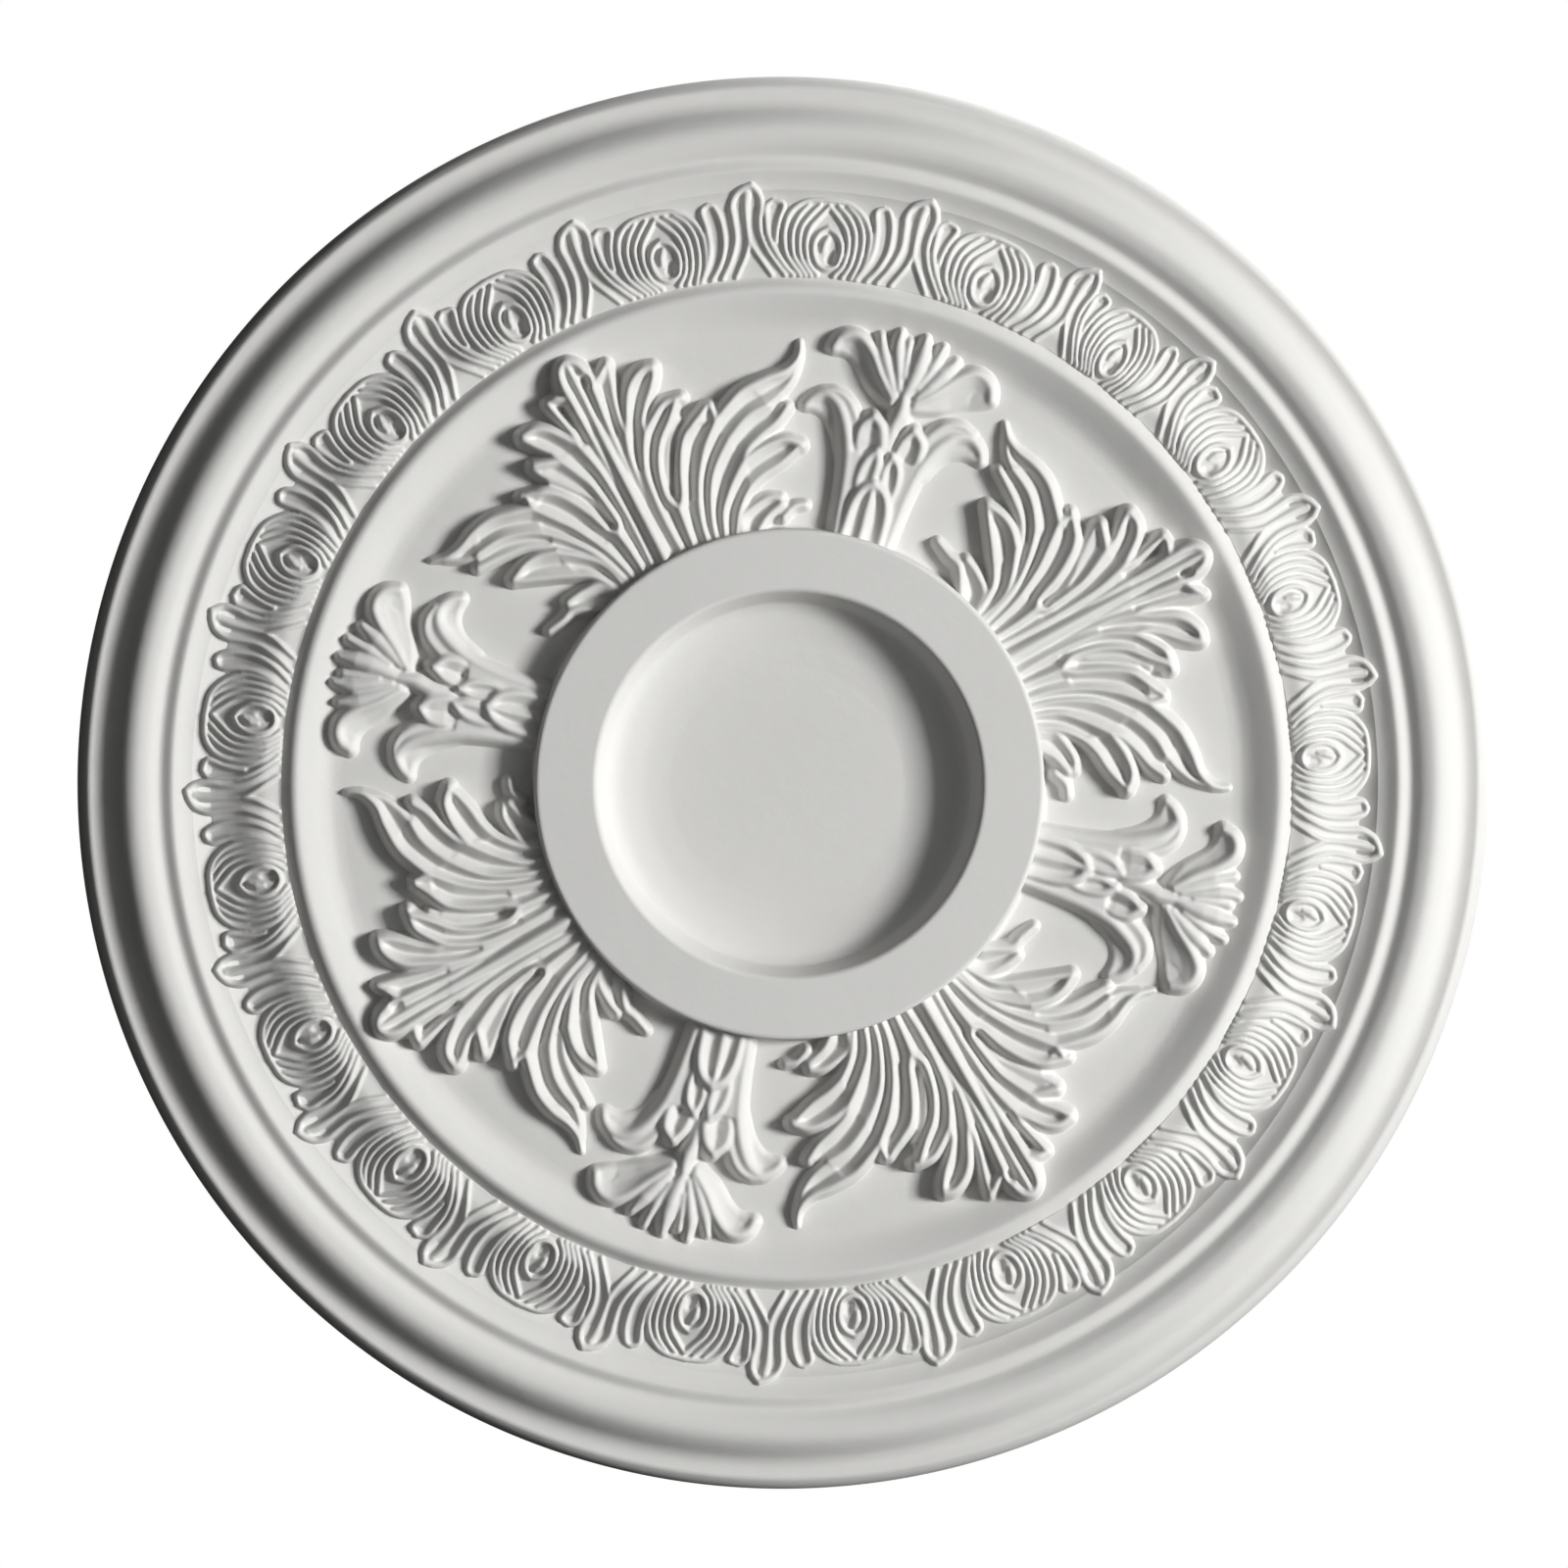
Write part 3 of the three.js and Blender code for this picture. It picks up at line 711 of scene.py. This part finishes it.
# The bud and the petals around it, then the tiers of the sheath; l is left and r is right
SPRIG_RIBS = {
    "bud": Rib([(-0.5, 171), (1, 178), (1.9, 185), (2.2, 192), (2, 198.5)], (8.6, 9.6, 10.2, 9.6, 7.4),
               (1.6, 3.4, 3.9, 3, 0.8)),
    "curl_l": Rib([(-5, 170), (-12, 177.5), (-18, 185.5), (-24, 190.5), (-29, 191), (-33, 188.5),
                   (-34.8, 184)], (8.5, 8.9, 8.6, 8.2, 7.8, 7.2, 6), (1.3, 1.5, 1.7, 1.9, 2.1, 2.2, 1.8)),
    "curl_l_low": Rib([(-5, 168.5), (-14, 173), (-21, 179.5), (-26, 183), (-31, 184), (-34.5, 183.5)],
                      (7.4, 5.2, 3.6, 2.8, 3, 4.6), (1.6, 2, 1.6)),
    "curl_r": Rib([(5, 170), (12, 177), (19, 185), (25, 189.5), (30, 189.5), (34, 186.5), (35.8, 181.5)],
                  (8.5, 8.9, 8.6, 8.2, 7.8, 7.2, 6), (1.3, 1.5, 1.7, 1.9, 2.1, 2.2, 1.8)),
    "curl_r_low": Rib([(5, 168.5), (15, 171.5), (24, 176), (31, 178.5), (35.3, 180.5)],
                      (7.4, 5, 3.2, 2.8, 4.4), (1.6, 2, 1.6)),
    "p1": Rib([(-4, 171), (-9, 179), (-14, 187.5), (-16.8, 194)], (8.3, 8.9, 8.6, 6.6), (1, 2, 2.8, 0.8)),
    "p2": Rib([(-3, 174), (-6, 183), (-8.5, 191), (-9, 198)], (8.5, 9.2, 9, 7), (1, 1.8, 2.6, 0.8)),
    "p3": Rib([(-2.5, 180), (-4, 190), (-4.5, 195)], (8.8, 8.4, 7.4), 1.1),
    "q1": Rib([(5, 172.5), (10, 180), (14, 187), (17, 192.5)], (8.5, 9.2, 9, 7), (1, 3.2, 3.8, 1)),
    "q2": Rib([(4.2, 177), (7.5, 186), (10.2, 197)], (8.5, 8.9, 7), (1, 2, 0.8)),
    "stalk": Rib([(0, 171), (0.3, 165), (-1, 158), (-1, 149)], (9, 9.3, 8.3, 7), (2, 3, 2.6, 2.4)),
    "sheath_l": Rib([(-11, 103), (-12.5, 115), (-13.8, 128), (-16, 141), (-20, 152), (-25.5, 160.5),
                     (-32, 164), (-36.8, 161), (-39.3, 157)], (7.4, 6.8, 6.5, 6.8, 7.2, 7.4, 6.8, 5.4, 4),
                    (1.8, 2, 2.4, 2.8, 3, 2.6, 1.6)),
    "sheath_r": Rib([(10.5, 103), (11.5, 118), (13, 134), (16, 147), (21, 156.5), (26.5, 162), (32.5, 163),
                     (37.5, 159.5), (39.5, 155)], (7.4, 6.8, 6.5, 6.8, 7.2, 7.4, 6.8, 5.4, 4),
                    (1.8, 2, 2.4, 2.4, 2.6, 2.4, 1.6)),
    "shoulder_l": Rib([(-13.5, 148), (-17, 157), (-22, 163.5), (-28, 166), (-33, 165)],
                      (5.8, 6.4, 6.4, 6, 5.2), (1.4, 1.6, 1)),
    "shoulder_r": Rib([(12, 152), (16, 160), (21, 165.5), (27, 167), (33, 165)],
                      (5.8, 6.4, 6.4, 6, 5.2), (1.4, 1.6, 1)),
    "under_l": Rib([(-18, 140), (-24, 150), (-30, 155.5), (-35, 157), (-39, 156.5)],
                   (3.4, 2.2, 1.8, 2.2, 3.4), (1.6, 1.8, 1.4)),
    "under_r": Rib([(17.5, 142), (23, 151), (29, 155), (34.5, 155.6), (39, 154.6)],
                   (3.4, 2.2, 1.8, 2.2, 3.4), (1.6, 1.8, 1.4)),
    "up_r": Rib([(8, 159), (12.5, 154.5), (13, 148), (11, 142)], (9.8, 9, 8, 5.5), (1.5, 1.6, 1.5, 0.8)),
    "up_r2": Rib([(8, 159), (4.5, 153), (3.6, 147), (5, 142)], (9.8, 8.8, 7.8, 6), (1.3, 1.3, 0.8)),
    "up_l": Rib([(-10, 160), (-14, 155), (-14, 148), (-11.5, 142)], (9.8, 8.6, 7.8, 5.5), (1.3, 1.4, 0.8)),
    "up_l2": Rib([(-10, 160), (-6, 156.5), (-3.5, 150), (-3.8, 144)], (9.8, 9.6, 9, 8),
                 (1.5, 2.3, 2.1, 1.5)),
    "mid_r": Rib([(2.2, 146), (6, 141.5), (7.4, 134), (6.5, 127)], (9.3, 8.8, 8, 7.6), (1.3, 1.4, 1.2)),
    "mid_r2": Rib([(2.2, 146), (0.6, 139), (1.4, 132.5)], (9.3, 8.2, 7.8), 1.1),
    "mid_l": Rib([(-4.5, 146.5), (-8, 141.5), (-9.4, 134), (-8.6, 128)], (9.3, 8.8, 8, 7.6),
                 (1.3, 1.5, 1.2)),
    "mid_l2": Rib([(-4.5, 146.5), (-3, 141), (-3, 134)], (9.3, 9, 8.3), (1.5, 2.1, 1.5)),
    "low_l": Rib([(-2, 132.5), (-6, 129), (-8.5, 122), (-9, 112), (-9, 103)], (10.3, 9.6, 8.8, 8.4, 8.4),
                 (1.7, 1.6, 1.5, 1.4)),
    "low_r": Rib([(-2, 132.5), (3.5, 129), (6.5, 122), (7.4, 112), (7.4, 103)], (10.3, 9.6, 8.8, 8.4, 8.4),
                 (1.7, 1.6, 1.5, 1.4)),
    "low_rib": Rib([(-2, 131), (-1.9, 122), (-1.4, 112), (-1.4, 103)], (10, 8.6, 8.6, 8.8),
                   (1.3, 1.2, 1.8, 2.2)),
}
# Between which ribs the sprig is fluted, and how deep
SPRIG_WEBS = [
    (("sheath_l", 0, 0.52), ("sheath_r", 0, 0.52), 0.9),
    (("curl_l",), ("curl_l_low",), 0.7),
    (("curl_r",), ("curl_r_low",), 0.7),
    (("sheath_l", 0.4, 1), ("under_l",), 0.9),
    (("sheath_r", 0.4, 1), ("under_r",), 0.9),
    (("sheath_l", 0.48, 0.8), ("shoulder_l",), 0.8),
    (("sheath_r", 0.48, 0.85), ("shoulder_r",), 0.8),
    (("up_r",), ("up_r2",), 3),
    (("up_l",), ("up_l2",), 2.2),
    (("mid_r",), ("mid_r2",), 2.8),
    (("mid_l",), ("mid_l2",), 1.4),
    (("low_l",), ("low_rib",), 2.8),
    (("low_r",), ("low_rib",), 2.8),
]
for first, second, sink in SPRIG_WEBS:
    sprig.web(part_of(SPRIG_RIBS, *first), part_of(SPRIG_RIBS, *second), sink)
for rib in SPRIG_RIBS.values():
    sprig.rib(rib)

sprig_model = relief_piece("sprig_model", sprig, sprig_bed, SPRIG_FOOT)
turns = [math.radians(90 - angle) for angle in SPRIG_AXES]
sprigs = cast_round("palmette_sprigs", laying, sprig_model, [(0, 0, 0)] * len(turns), {"turn": turns},
                    (model_socket, plaster_socket))
bpy.data.objects.remove(sprig_model)
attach(sprigs, "root")


# The egg-and-dart band runs round on the cushion: strips pressed from one mould and laid end to end, with
# one narrower repeat where the ring closes. A repeat lies between two darts and holds an egg in its shells.
# Angles are in degrees. The repeats drift a little from even spacing, most of all halfway round.
REPEATS = 20
FIRST_DART = 59.0
CLOSING_PITCH = 13.9
LAYING_DRIFT = 1.0
PITCH = math.radians((360 - CLOSING_PITCH) / REPEATS)
BAND_EDGES = (213.8, 256.8)
BAND_GRID_ACROSS = 104
BAND_GRID_OUT = 0.62
BAND_CREST = 1.0
# The radius along which a repeat is set out, and how much larger the eye sees it
BAND_MIDDLE = 230.0
BAND_SEEN_SIZE = 1.0055
# The strip's own thickness over the cushion, at radii from its inner to its outer edge
BAND_BED_RADII = (213.9, 214.5, 216.5, 228, 240, 246, 249.6, 250.6)
BAND_BED_RISES = (-0.9, 0.02, -0.3, -0.3, -0.1, 0.02, 0.02, -1.2)
BODY_RISE = 0.4
BODY_SINK = 0.3
EGG_EYE_FLANK = 1.8
# Points of two repeats that lie this close, in metres, are one
WELD = 0.00001

out, angle = np.meshgrid(np.arange(*BAND_EDGES, BAND_GRID_OUT),
                         np.linspace(-PITCH, 0, BAND_GRID_ACROSS + 1), indexing="ij")
band = Carving(out * np.sin(angle), out * np.cos(angle), BAND_CREST, BED_DEPTH)


def band_rib(points, rise, thick):
    """A rib set out along the middle of the band, clockwise from a dart, and by radius."""
    along_middle, radius = drawn(points).T
    angle = along_middle / BAND_MIDDLE
    radius = radius / BAND_SEEN_SIZE
    rib = Rib(points, rise, thick)
    return rib.copy(np.stack([radius * np.sin(angle), radius * np.cos(angle)], axis=1), rib.rise, rib.thick)


def turned_rib(rib, turned):
    """The same rib in a neighbouring repeat."""
    cos_turn = math.cos(turned)
    sin_turn = math.sin(turned)
    line = np.stack([rib.line[:, 0] * cos_turn + rib.line[:, 1] * sin_turn,
                     rib.line[:, 1] * cos_turn - rib.line[:, 0] * sin_turn], axis=1)
    return rib.copy(line, rib.rise, rib.thick)


# The repeat's ribs: the dart's stem, its rims, the side lobes, the shells and the egg's core
RIM_RISES = (2.5, 2.5, 2.4, 2.2, 2, 2, 1.9, 1.8)
LOBE_RISES = (1.9, 2.3, 2.1, 2.1, 1.9, 1.8)
SHELL_RISES = (1.7, 2, 2.1, 2, 2, 1.8)
BAND_RIBS = [
    band_rib([(-0.4, 251.6), (-1.2, 246), (-1.4, 238), (-1.2, 231)], (2.5, 2.2, 1.9, 1.9),
             (2.8, 1.6, 0.8, 0.8)),
    band_rib([(-1.2, 231), (-3, 225), (-8, 216)], (1.9, 1.8, 1.6), 0.8),
    band_rib([(-1.2, 231), (2, 225), (8, 216)], (1.9, 1.8, 1.6), 0.8),
    band_rib([(1.6, 254.8), (-1.8, 253.6), (-5.2, 250.8), (-6.9, 246.4), (-6.6, 241), (-6.6, 232),
              (-9.8, 223), (-14.2, 216)], RIM_RISES, (1.3, 1.3, 1, 0.8, 0.8)),
    band_rib([(1.6, 254.8), (3.8, 252), (4.9, 248.6), (4.7, 244.6), (3.9, 240), (4, 234), (6.2, 227),
              (10, 221), (14, 216)], RIM_RISES, (1.3, 1.3, 1, 0.8, 0.8)),
    band_rib([(-16, 248.5), (-13.6, 247), (-11.6, 240), (-11.7, 230), (-14.6, 222), (-19, 216)],
             LOBE_RISES, 0.9),
    band_rib([(-16, 248.5), (-18.8, 246), (-17.8, 238), (-18, 229), (-20.5, 221.5), (-24, 216)],
             LOBE_RISES, 0.9),
    band_rib([(9.8, 248.5), (7, 246), (6.6, 240), (7, 233), (9.4, 226.5), (14, 219.5), (17.5, 216)],
             LOBE_RISES, 0.9),
    band_rib([(9.8, 248.5), (13.8, 246.5), (11.8, 240), (10.6, 234.5), (10.2, 230.5)],
             (1.9, 2.3, 2, 1.9, 1.5), 0.8),
    band_rib([(31, 249), (22.5, 248), (16.8, 243.5), (14.2, 237), (13.6, 230), (15, 223.5), (20.5, 216)],
             (2.2, 2.1, 2, 1.8), 0.9),
    band_rib([(31, 249), (40, 247.8), (46, 243), (49.3, 236), (49.6, 229), (48.4, 222), (46, 216)],
             (2.2, 2.1, 2, 1.8), 0.9),
    band_rib([(24, 246.8), (20.2, 242), (17.6, 236), (16.9, 230), (17.6, 224), (20, 220), (23, 216)],
             SHELL_RISES, 0.7),
    band_rib([(28.4, 246.8), (24.4, 242), (21, 236.5), (20, 230), (20.8, 223), (25.4, 216)],
             SHELL_RISES, 0.7),
    band_rib([(32, 246.4), (28.6, 242), (25, 237.4), (23.2, 232.4), (22.9, 227), (24.2, 221), (28, 216.4)],
             SHELL_RISES, 0.7),
    band_rib([(39.4, 246.8), (43.6, 242.4), (46, 237), (46.7, 230.5), (45.8, 223), (43.4, 216)],
             SHELL_RISES, 0.7),
    band_rib([(35.6, 246.8), (40, 242), (42.9, 236), (43.5, 229), (42.3, 221.5), (39.4, 216)],
             SHELL_RISES, 0.7),
    band_rib([(32, 246.4), (35.6, 242), (39, 237.4), (40.5, 232.4), (40.6, 227), (39.2, 221), (35.6, 216.4)],
             SHELL_RISES, 0.7),
    band_rib([(32, 236.8), (28.3, 234.2), (26.2, 230), (26.2, 225), (28.2, 220.8), (32, 219), (35.8, 220.8),
              (37.8, 225), (37.8, 230), (35.7, 234.2), (32, 236.8)], 2.1, 0.8),
    band_rib([(32, 232.6), (30.6, 229.6), (30.2, 226.6)], (2, 2.3, 1.4), (0.8, 1.6, 1)),
]
# The bodies that the ribs lie on, each between its left and its right edge
BAND_BODIES = [
    ([(-24, 215), (-18, 229), (-18.9, 245), (-16, 248.3), (-12.5, 246), (-8.6, 245), (-6.8, 249.3),
      (-3.4, 252.8), (1.6, 254.8)],
     [(17, 215), (7, 232), (5.6, 243), (4.9, 249), (3.4, 252.6), (1.6, 254.8)]),
    ([(9, 215), (6.8, 233), (6.5, 245), (9.8, 248.5)],
     [(22, 215), (11, 232), (13.8, 246), (9.8, 248.5)]),
    ([(20, 215), (13.5, 230), (16.5, 243), (22, 247.8), (31, 249)],
     [(46, 215), (50, 230), (46, 243), (40, 247.6), (31, 249)]),
]
BAND_TURNS = (-2 * PITCH, -PITCH, 0, PITCH)
for turned in BAND_TURNS:
    for edges in BAND_BODIES:
        left, right = [turned_rib(band_rib(edge, BODY_RISE, 1), turned) for edge in edges]
        band.web(left, right, BODY_SINK)
for turned in BAND_TURNS:
    for rib in BAND_RIBS:
        band.rib(turned_rib(rib, turned))
band.height = raised(band.height, np.interp(out, BAND_BED_RADII, BAND_BED_RISES), RIB_JOIN)
egg_eye = band_rib([(33.4, 223.2), (33.8, 225), (34.6, 229)], 1, 1)
for turned in BAND_TURNS:
    band.gouge(turned_rib(egg_eye, turned).line, (1.3, 1, 0.4), (-1.9, -1.4, 0.6), EGG_EYE_FLANK)

# The repeat as a straight strip one unit long: x along it, y the radius, z the height, with a closed section
height = surface(out) + band.height
rows, columns = out.shape
points = []
for column in range(columns):
    share = column / (columns - 1) - 1
    points += [(share, out[row, 0], height[row, column]) for row in range(rows)]
    points += [(share, out[row, 0], surface(out[row, 0]) - SUNK) for row in (-1, 0)]
ring_length = rows + 2
faces = []
for column in range(columns - 1):
    for row in range(ring_length):
        after = (row + 1) % ring_length
        here = column * ring_length
        there = here + ring_length
        faces.append((here + row, there + row, there + after, here + after))
repeat_mesh = bpy.data.meshes.new("repeat_model")
repeat_mesh.from_pydata(points, [], faces)
repeat_mesh.polygons.foreach_set("use_smooth", np.ones(len(repeat_mesh.polygons), bool))
repeat_model = bpy.data.objects.new("repeat_model", repeat_mesh)
bpy.context.scene.collection.objects.link(repeat_model)

# The tree lays the repeats in a straight strip, each drawn out to its width, and bends the strip round
bending = bpy.data.node_groups.new("bent_round", "GeometryNodeTree")
bending.interface.new_socket(name="Places", in_out="INPUT", socket_type="NodeSocketGeometry")
repeat_socket = bending.interface.new_socket(name="Repeat", in_out="INPUT", socket_type="NodeSocketObject")
paint_socket = bending.interface.new_socket(name="Plaster", in_out="INPUT", socket_type="NodeSocketMaterial")
bending.interface.new_socket(name="Band", in_out="OUTPUT", socket_type="NodeSocketGeometry")
given = bending.nodes.new("NodeGroupInput")
model = bending.nodes.new("GeometryNodeObjectInfo")
width = bending.nodes.new("GeometryNodeInputNamedAttribute")
width.inputs["Name"].default_value = "width"
stretch = bending.nodes.new("ShaderNodeCombineXYZ")
stretch.inputs["Y"].default_value = 1
stretch.inputs["Z"].default_value = 1
copies = bending.nodes.new("GeometryNodeInstanceOnPoints")
real = bending.nodes.new("GeometryNodeRealizeInstances")
position = bending.nodes.new("GeometryNodeInputPosition")
flat = bending.nodes.new("ShaderNodeSeparateXYZ")
cosine, sine, to_x, to_y, down = [bending.nodes.new("ShaderNodeMath") for _ in range(5)]
cosine.operation = "COSINE"
sine.operation = "SINE"
for product in (to_x, to_y, down):
    product.operation = "MULTIPLY"
down.inputs[1].default_value = -1
bent = bending.nodes.new("ShaderNodeCombineXYZ")
metres = bending.nodes.new("ShaderNodeVectorMath")
metres.operation = "SCALE"
metres.inputs["Scale"].default_value = TO_METRES
moved = bending.nodes.new("GeometryNodeSetPosition")
welded = bending.nodes.new("GeometryNodeMergeByDistance")
welded.inputs["Distance"].default_value = WELD
painted = bending.nodes.new("GeometryNodeSetMaterial")
result = bending.nodes.new("NodeGroupOutput")
for source, target in [
    (given.outputs["Repeat"], model.inputs["Object"]),
    (given.outputs["Places"], copies.inputs["Points"]),
    (model.outputs["Geometry"], copies.inputs["Instance"]),
    (width.outputs["Attribute"], stretch.inputs["X"]),
    (stretch.outputs["Vector"], copies.inputs["Scale"]),
    (copies.outputs["Instances"], real.inputs["Geometry"]),
    (real.outputs["Geometry"], moved.inputs["Geometry"]),
    (position.outputs["Position"], flat.inputs["Vector"]),
    (flat.outputs["X"], cosine.inputs[0]),
    (flat.outputs["X"], sine.inputs[0]),
    (cosine.outputs["Value"], to_x.inputs[0]),
    (flat.outputs["Y"], to_x.inputs[1]),
    (sine.outputs["Value"], to_y.inputs[0]),
    (flat.outputs["Y"], to_y.inputs[1]),
    (flat.outputs["Z"], down.inputs[0]),
    (to_x.outputs["Value"], bent.inputs["X"]),
    (to_y.outputs["Value"], bent.inputs["Y"]),
    (down.outputs["Value"], bent.inputs["Z"]),
    (bent.outputs["Vector"], metres.inputs[0]),
    (metres.outputs["Vector"], moved.inputs["Position"]),
    (moved.outputs["Geometry"], welded.inputs["Geometry"]),
    (welded.outputs["Geometry"], painted.inputs["Geometry"]),
    (given.outputs["Plaster"], painted.inputs["Material"]),
    (painted.outputs["Geometry"], result.inputs["Band"]),
]:
    bending.links.new(source, target)

darts = [math.radians(FIRST_DART - CLOSING_PITCH)]
for repeat in range(REPEATS + 1):
    drift = LAYING_DRIFT * math.sin(math.pi * repeat / REPEATS)
    darts.append(math.radians(FIRST_DART + drift) + PITCH * repeat)
repeats = [(-start, end - start) for start, end in zip(darts, darts[1:])]
half = len(repeats) // 2
for name, stretch_of_band in (("egg_and_dart_near", repeats[:half]), ("egg_and_dart_far", repeats[half:])):
    arc = cast_round(name, bending, repeat_model, [(start, 0, 0) for start, _ in stretch_of_band],
                     {"width": [wide for _, wide in stretch_of_band]}, (repeat_socket, paint_socket))
    body = bmesh.new()
    body.from_mesh(arc.data)
    ends = [edge for edge in body.edges if edge.is_boundary]
    bmesh.ops.holes_fill(body, edges=ends, sides=0)
    for edge in ends:
        edge.smooth = False
    bmesh.ops.recalc_face_normals(body, faces=body.faces)
    body.to_mesh(arc.data)
    body.free()
    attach(arc, "root")
bpy.data.objects.remove(repeat_model)


# The studio: one big soft light low from the right of the face rakes over the relief, and a weak one from
# above shows the back. A pale floor lies far below, in a white surround that gives the shadows little light.
LIGHT_SIZE = 1.2
KEY_HEIGHT = math.radians(36)
KEY_TURN = math.radians(5)
KEY_DISTANCE = 5.0
KEY_POWER = 296
TOP_PLACE = (1.1, -1.5, 1.3)
TOP_POWER = 60
FLOOR_LEVEL = -3.4
FLOOR_REACH = 27.0
FLOOR_SHADE = (0.45, 0.45, 0.445, 1)
FLOOR_BRIGHTNESS = 0.68
SHADOW_LIGHT = 0.014


def aimed(thing, place, target, upward):
    """Stands a light or the camera at a place, looking at a target."""
    forward = (Vector(target) - Vector(place)).normalized()
    right = forward.cross(Vector(upward)).normalized()
    top = right.cross(forward)
    turned = Matrix((right, top, -forward)).transposed().to_4x4()
    thing.matrix_world = Matrix.Translation(place) @ turned


def soft_light(name, place, power):
    lamp = bpy.data.lights.new(name, "AREA")
    lamp.size = LIGHT_SIZE
    lamp.energy = power
    stand = bpy.data.objects.new(name, lamp)
    bpy.context.scene.collection.objects.link(stand)
    aimed(stand, place, (0, 0, 0), (0, 1, 0))


key_place = KEY_DISTANCE * Vector((math.cos(KEY_HEIGHT) * math.cos(KEY_TURN),
                                   -math.cos(KEY_HEIGHT) * math.sin(KEY_TURN), -math.sin(KEY_HEIGHT)))
soft_light("key", key_place, KEY_POWER)
soft_light("top", TOP_PLACE, TOP_POWER)

floor_mesh = bpy.data.meshes.new("floor")
corners = [(-1, -1), (1, -1), (1, 1), (-1, 1)]
floor_mesh.from_pydata([(x * FLOOR_REACH, y * FLOOR_REACH, FLOOR_LEVEL) for x, y in corners], [],
                       [(0, 1, 2, 3)])
floor = bpy.data.objects.new("floor", floor_mesh)
bpy.context.scene.collection.objects.link(floor)
pale = bpy.data.materials.new("pale_floor")
pale.use_nodes = True
Trace.tree = pale.node_tree
matt = pale.node_tree.nodes["Principled BSDF"]
matt.inputs["Base Color"].default_value = FLOOR_SHADE
matt.inputs["Roughness"].default_value = 0.9
matt.inputs["Emission Strength"].default_value = FLOOR_BRIGHTNESS
looked_at = Trace.node("ShaderNodeLightPath", {}, {}, "Is Camera Ray")
Trace.tree.links.new(looked_at.socket, matt.inputs["Emission Color"])
# The floor looks bright but lights nothing
pale.cycles.emission_sampling = "NONE"
floor_mesh.materials.append(pale)

surround = bpy.data.worlds.new("surround")
surround.use_nodes = True
bpy.context.scene.world = surround
Trace.tree = surround.node_tree
background = surround.node_tree.nodes["Background"]
seen = Trace.node("ShaderNodeLightPath", {}, {}, "Is Camera Ray")
Trace.tree.links.new((seen * (1 - SHADOW_LIGHT) + SHADOW_LIGHT).socket, background.inputs["Strength"])
background.inputs["Color"].default_value = (1, 1, 1, 1)

# The camera looks up at the face from below, a little to the left of and above the middle of the picture
VIEW_DISTANCE = 2.7
VIEW_HALF_WIDTH = 0.333
CAMERA_PLACE = (-0.141, -0.033, -VIEW_DISTANCE)
CAMERA_AIM = (-0.0017, 0, -0.012)
SENSOR_WIDTH = 36
camera_data = bpy.data.cameras.new("camera")
camera_data.sensor_width = SENSOR_WIDTH
camera_data.lens = SENSOR_WIDTH / 2 / (VIEW_HALF_WIDTH / VIEW_DISTANCE)
camera = bpy.data.objects.new("camera", camera_data)
bpy.context.scene.collection.objects.link(camera)
aimed(camera, CAMERA_PLACE, CAMERA_AIM, (0, -1, 0))
bpy.context.scene.camera = camera
bpy.context.scene.view_settings.view_transform = "Standard"
